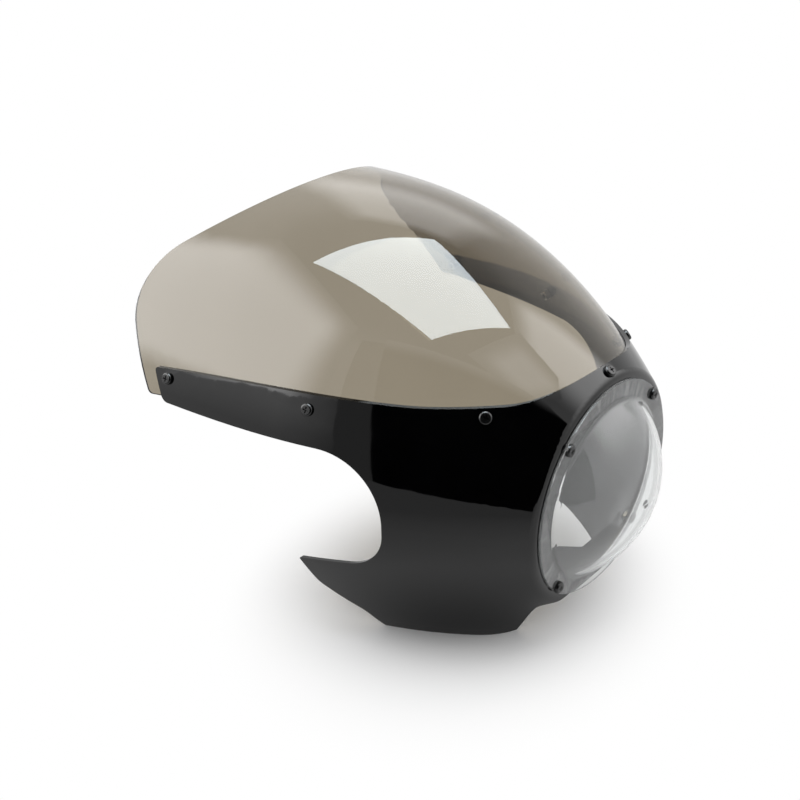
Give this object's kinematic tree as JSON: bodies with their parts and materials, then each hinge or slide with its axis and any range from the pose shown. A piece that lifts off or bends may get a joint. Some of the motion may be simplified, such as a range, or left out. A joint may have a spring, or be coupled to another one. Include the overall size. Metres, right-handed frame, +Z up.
{
  "type": "headlight cowl",
  "caption": "Motorbike headlight cowl: black shell with fork notches, tinted bubble screen inside its lip and a clear domed lamp cover, screwed together.",
  "frame": {"origin": "centre of the lamp opening, on the face of the nose that the cover lies on", "axes": "+X forward along the lamp axis, +Y to the rider's left, +Z up"},
  "size_m": [0.3787, 0.3702, 0.3069],
  "materials": {
    "shell_plastic": "deep gloss black",
    "smoke_acrylic": "polished, smoke tint",
    "clear_plastic": "polished, clear",
    "black_steel": "black coated, satin",
    "bright_steel": "zinc plated"
  },
  "bodies": {
    "root": {"cowl_shell": "shell_plastic", "windscreen": "smoke_acrylic", "lamp_cover": "clear_plastic", "screen_screws": "black_steel", "screen_washers": "bright_steel", "screen_nuts": "bright_steel", "cover_screws": "black_steel", "cover_washers": "bright_steel", "cover_nuts": "bright_steel"}
  },
  "joints": []
}
